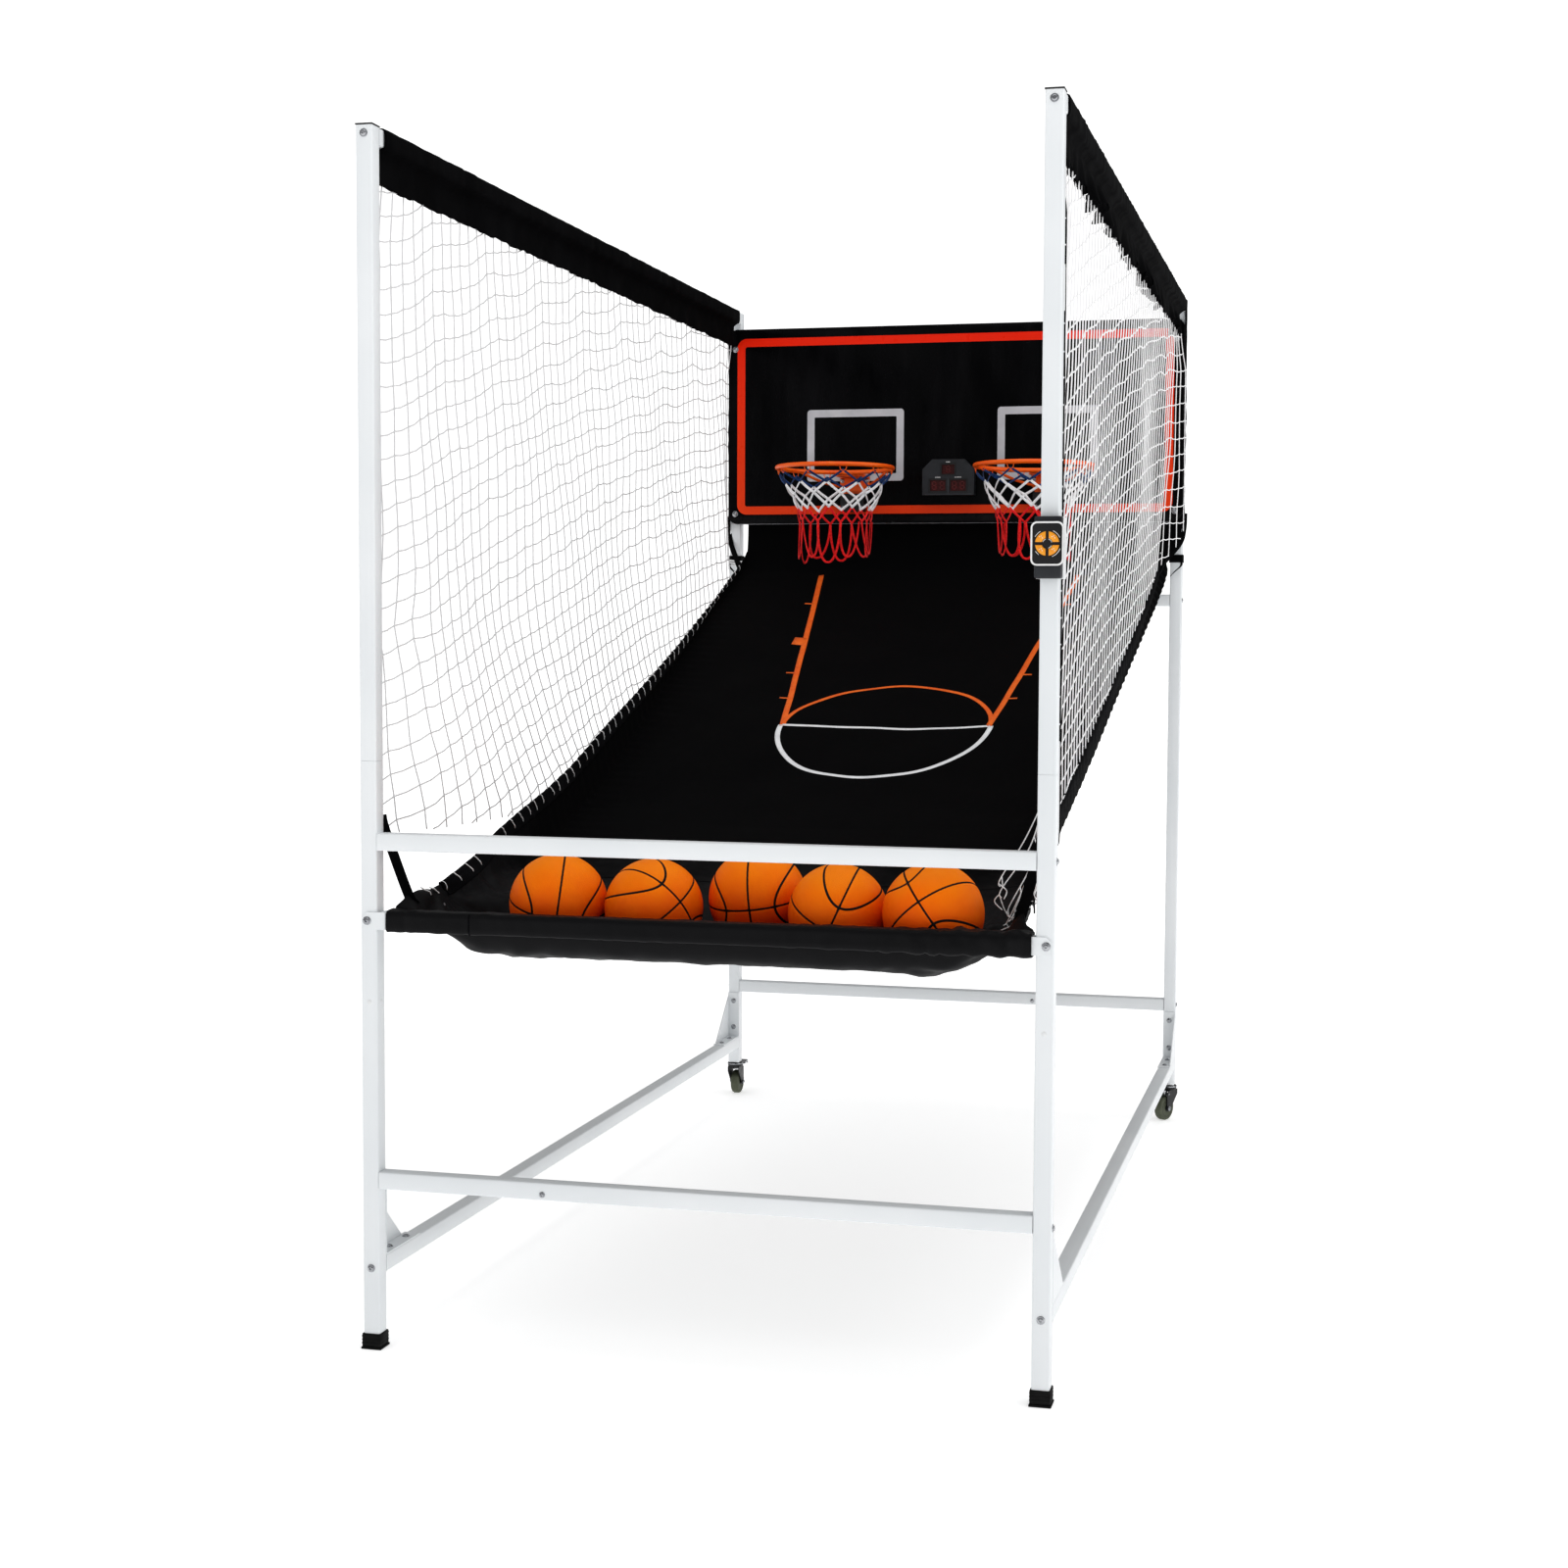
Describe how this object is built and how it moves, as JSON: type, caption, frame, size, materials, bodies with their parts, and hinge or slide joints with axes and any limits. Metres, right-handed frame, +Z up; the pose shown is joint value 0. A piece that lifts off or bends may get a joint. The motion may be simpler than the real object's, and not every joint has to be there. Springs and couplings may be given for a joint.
{
  "type": "basketball hoop machine",
  "caption": "Arcade basketball machine for players side by side: steel tube frame on feet and casters, cloth ball ramp, side nets, backboard with hoops, scoreboard and control panel.",
  "frame": {"origin": "on the floor under the middle of the machine", "axes": "-Y faces the players, +Y towards the backboard, +X to a player's right, +Z up"},
  "size_m": [1.2345, 2.368, 2.133],
  "materials": {
    "ball_orange": "orange pebbled rubber with black seams",
    "black_fabric": "black coated woven cloth, slight sheen",
    "black_plastic": "black moulded plastic",
    "black_rubber": "matte black rubber",
    "board_black": "glossy black, slightly mottled, with printed border and squares",
    "button_orange": "amber orange moulded keys",
    "circuit_green": "green circuit board",
    "display_red": "dark red tinted window",
    "grey_plastic": "dark slate grey moulded plastic, fine texture",
    "net_white": "white knotted cord net",
    "rim_orange": "gloss orange paint",
    "steel": "bright plated steel",
    "tread": "dark olive grey tread",
    "white_paint": "cool white powder coat, satin, with a faint orange peel",
    "white_plastic": "off-white moulded plastic, fine texture"
  },
  "bodies": {
    "frame": {"backboard": "board_black", "ball_rail": "white_paint", "base_rail_left": "white_paint", "base_rail_right": "white_paint", "control_circuit_board": "circuit_green", "control_clamp": "white_plastic", "control_faceplate": "black_plastic", "control_housing": "grey_plastic", "front_crossbar": "white_paint", "front_lower_crossbar": "white_paint", "front_post_lower_left": "white_paint", "front_post_lower_right": "white_paint", "front_post_upper_left": "white_paint", "front_post_upper_right": "white_paint", "gusset_front_left": "white_paint", "gusset_front_right": "white_paint", "gusset_rear_left": "white_paint", "gusset_rear_right": "white_paint", "hoop_net_left": "net_white", "hoop_net_right": "net_white", "post_cap_left": "black_plastic", "post_cap_right": "black_plastic", "ramp_fabric": "black_fabric", "rear_lower_crossbar": "white_paint", "rear_mid_crossbar": "white_paint", "rear_post_left": "white_paint", "rear_post_right": "white_paint", "rim_bracket_left": "rim_orange", "rim_bracket_right": "rim_orange", "rim_left": "rim_orange", "rim_right": "rim_orange", "rubber_foot_left": "black_rubber", "rubber_foot_right": "black_rubber", "score_sensor_left": "black_plastic", "score_sensor_right": "black_plastic", "scoreboard_back_cover": "grey_plastic", "scoreboard_circuit_board": "circuit_green", "scoreboard_display_window": "display_red", "scoreboard_housing": "grey_plastic", "side_net_left": "net_white", "side_net_right": "net_white", "top_rail_left": "white_paint", "top_rail_right": "white_paint", "top_sleeve_left": "black_fabric", "top_sleeve_right": "black_fabric"},
    "caster_swivel_left": {"caster_fork_left": "black_plastic"},
    "caster_wheel_left": {"caster_wheel_left": "tread"},
    "caster_brake_left": {"caster_brake_left": "steel"},
    "caster_swivel_right": {"caster_fork_right": "black_plastic"},
    "caster_wheel_right": {"caster_wheel_right": "tread"},
    "caster_brake_right": {"caster_brake_right": "steel"},
    "button_upper_right": {"control_button_upper_right": "button_orange"},
    "button_upper_left": {"control_button_upper_left": "button_orange"},
    "button_lower_left": {"control_button_lower_left": "button_orange"},
    "button_lower_right": {"control_button_lower_right": "button_orange"},
    "ball_1": {"basketball_1": "ball_orange"},
    "ball_2": {"basketball_2": "ball_orange"},
    "ball_3": {"basketball_3": "ball_orange"},
    "ball_4": {"basketball_4": "ball_orange"},
    "ball_5": {"basketball_5": "ball_orange"}
  },
  "joints": [
    {"name": "caster_swivel_left", "type": "hinge", "parent": "frame", "child": "caster_swivel_left", "pos_m": [-0.59425, 1.11525, 0.09], "axis": [0, 0, 1], "continuous": true},
    {"name": "caster_roll_left", "type": "hinge", "parent": "caster_swivel_left", "child": "caster_wheel_left", "pos_m": [-0.59425, 1.13725, 0.0315], "axis": [1, 0, 0], "continuous": true},
    {"name": "caster_brake_left", "type": "hinge", "parent": "caster_swivel_left", "child": "caster_brake_left", "pos_m": [-0.59425, 1.13925, 0.069], "axis": [-1, 0, 0], "range_deg": [0, 20]},
    {"name": "caster_swivel_right", "type": "hinge", "parent": "frame", "child": "caster_swivel_right", "pos_m": [0.59425, 1.11525, 0.09], "axis": [0, 0, 1], "continuous": true},
    {"name": "caster_roll_right", "type": "hinge", "parent": "caster_swivel_right", "child": "caster_wheel_right", "pos_m": [0.58392, 1.09583, 0.0315], "axis": [-0.8829, 0.4695, 0], "continuous": true},
    {"name": "caster_brake_right", "type": "hinge", "parent": "caster_swivel_right", "child": "caster_brake_right", "pos_m": [0.58298, 1.09406, 0.069], "axis": [0.8829, -0.4695, 0], "range_deg": [0, 20]},
    {"name": "button_upper_right", "type": "slide", "parent": "frame", "child": "button_upper_right", "axis": [0, 1, 0], "range_m": [0, 0.0015], "stiffness_N_per_m": 400, "springref_m": -0.001},
    {"name": "button_upper_left", "type": "slide", "parent": "frame", "child": "button_upper_left", "axis": [0, 1, 0], "range_m": [0, 0.0015], "stiffness_N_per_m": 400, "springref_m": -0.001},
    {"name": "button_lower_left", "type": "slide", "parent": "frame", "child": "button_lower_left", "axis": [0, 1, 0], "range_m": [0, 0.0015], "stiffness_N_per_m": 400, "springref_m": -0.001},
    {"name": "button_lower_right", "type": "slide", "parent": "frame", "child": "button_lower_right", "axis": [0, 1, 0], "range_m": [0, 0.0015], "stiffness_N_per_m": 400, "springref_m": -0.001},
    {"name": "ball_1_lift", "type": "slide", "parent": "frame", "child": "ball_1", "axis": [0, 0, 1], "range_m": [0, 0.35]},
    {"name": "ball_2_lift", "type": "slide", "parent": "frame", "child": "ball_2", "axis": [0, 0, 1], "range_m": [0, 0.35]},
    {"name": "ball_3_lift", "type": "slide", "parent": "frame", "child": "ball_3", "axis": [0, 0, 1], "range_m": [0, 0.35]},
    {"name": "ball_4_lift", "type": "slide", "parent": "frame", "child": "ball_4", "axis": [0, 0, 1], "range_m": [0, 0.35]},
    {"name": "ball_5_lift", "type": "slide", "parent": "frame", "child": "ball_5", "axis": [0, 0, 1], "range_m": [0, 0.35]}
  ]
}
